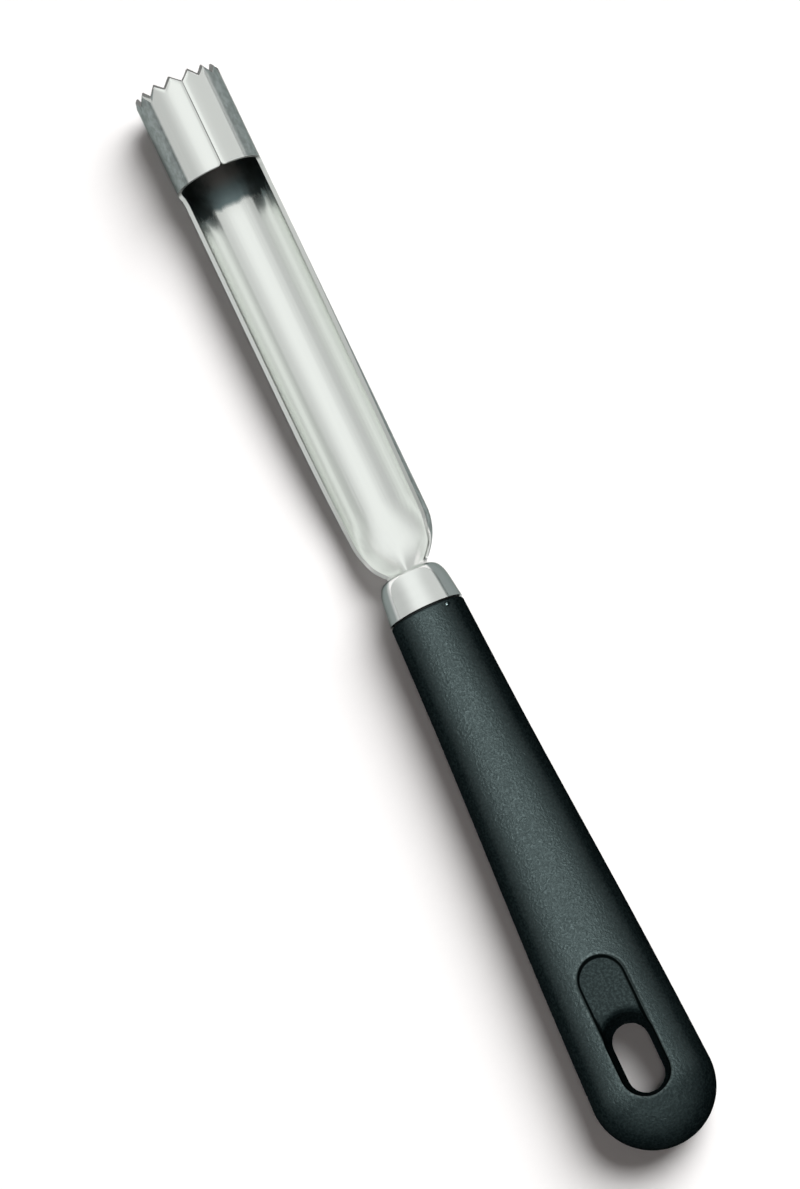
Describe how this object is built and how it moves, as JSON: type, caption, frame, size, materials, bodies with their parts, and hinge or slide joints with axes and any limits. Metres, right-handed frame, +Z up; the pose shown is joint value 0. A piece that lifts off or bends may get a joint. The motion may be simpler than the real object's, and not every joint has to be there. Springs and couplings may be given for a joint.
{
  "type": "apple corer",
  "caption": "Hand apple corer: a toothed rolled-steel cutting ring runs into an open half-round trough, with a steel ferrule and a tapered dark plastic handle with a hanging hole.",
  "frame": {"origin": "on the table under the middle of the tool's bounding box, with the tool lying on its back", "axes": "+Y along the tool from the handle to the toothed tip, +Z up out of the open trough, +X to the right seen from the handle"},
  "size_m": [0.0248, 0.232, 0.018],
  "materials": {
    "blade_steel": "polished stainless sheet",
    "ferrule_steel": "polished drawn stainless",
    "core_plastic": "as moulded",
    "grip_plastic": "fine moulded grain, dark teal grey"
  },
  "bodies": {
    "root": {"corer_blade": "blade_steel", "ferrule": "ferrule_steel", "tang_core": "core_plastic", "handle_grip": "grip_plastic"}
  },
  "joints": []
}
